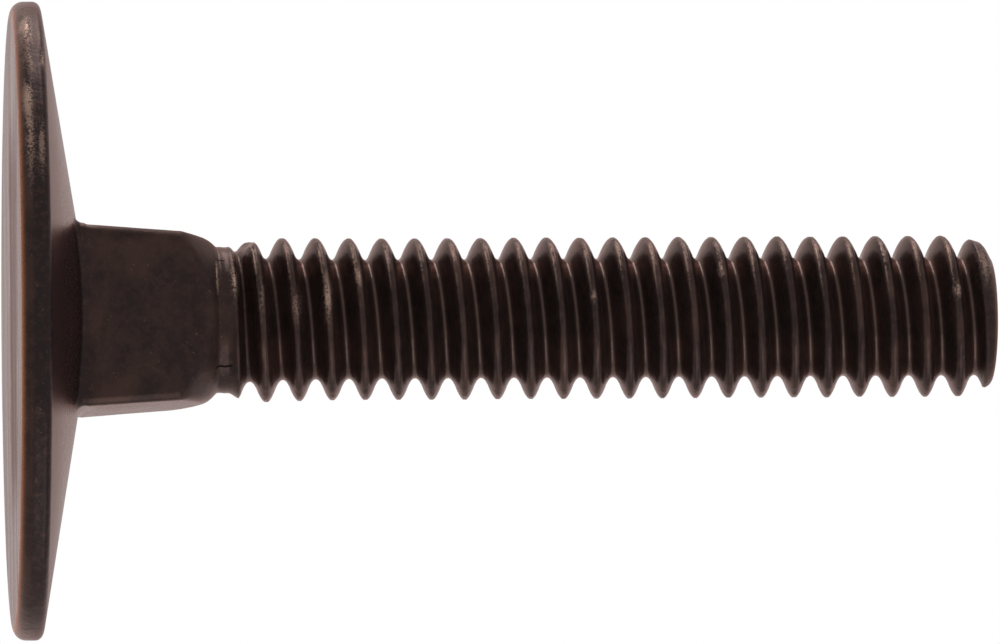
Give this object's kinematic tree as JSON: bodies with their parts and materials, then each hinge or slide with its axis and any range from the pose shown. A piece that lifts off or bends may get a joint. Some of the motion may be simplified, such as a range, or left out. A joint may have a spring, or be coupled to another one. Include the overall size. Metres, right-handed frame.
{
  "type": "elevator bolt",
  "caption": "Flat round-headed bolt with a square neck and a rolled right-hand thread, for clamping belts, buckets or panels with a flush head.",
  "frame": {"origin": "centre of the head's flat face, on which the bolt stands", "axes": "+Z along the shank, from the head to the tip. X and Y are square to the flats of the neck"},
  "size_m": [0.0244, 0.0244, 0.0377],
  "materials": {
    "dark_steel": "satin"
  },
  "bodies": {
    "root": {"bolt": "dark_steel"}
  },
  "joints": []
}
